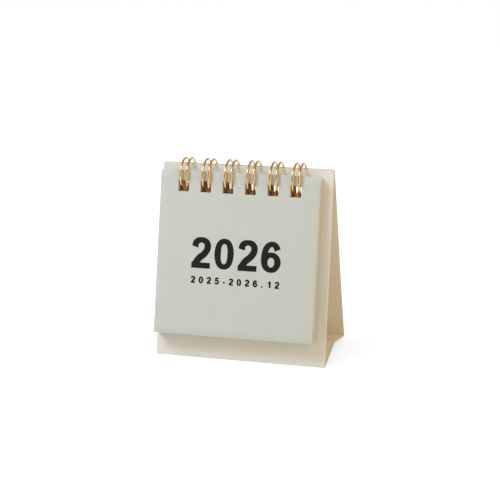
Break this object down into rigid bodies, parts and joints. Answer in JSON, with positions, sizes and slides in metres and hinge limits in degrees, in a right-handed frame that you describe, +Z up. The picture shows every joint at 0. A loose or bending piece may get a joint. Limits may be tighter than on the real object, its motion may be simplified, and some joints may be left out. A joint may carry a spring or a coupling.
{
  "type": "desk calendar",
  "caption": "Small desk calendar: a pad of square leaves on a gold twin-loop wire, hanging in front of a folded card stand whose base creases upwards.",
  "frame": {"origin": "on the table, under the middle of the calendar's box", "axes": "+Z up, the cover and the stand's front panel face -Y, +X to the right as seen from the front"},
  "size_m": [0.0644, 0.0348, 0.0718],
  "materials": {
    "stand_card": "matte",
    "binding_wire": "polished",
    "page_block": "matte",
    "cover_sheet": "matte"
  },
  "bodies": {
    "stand": {"stand_card": "stand_card", "binding_wire": "binding_wire", "page_block": "page_block"},
    "cover": {"cover_sheet": "cover_sheet"}
  },
  "joints": [
    {"name": "cover_turn", "type": "hinge", "parent": "stand", "child": "cover", "pos_m": [0, 0.00122, 0.06538], "axis": [-1, 0, 0], "range_deg": [0, 190]}
  ]
}
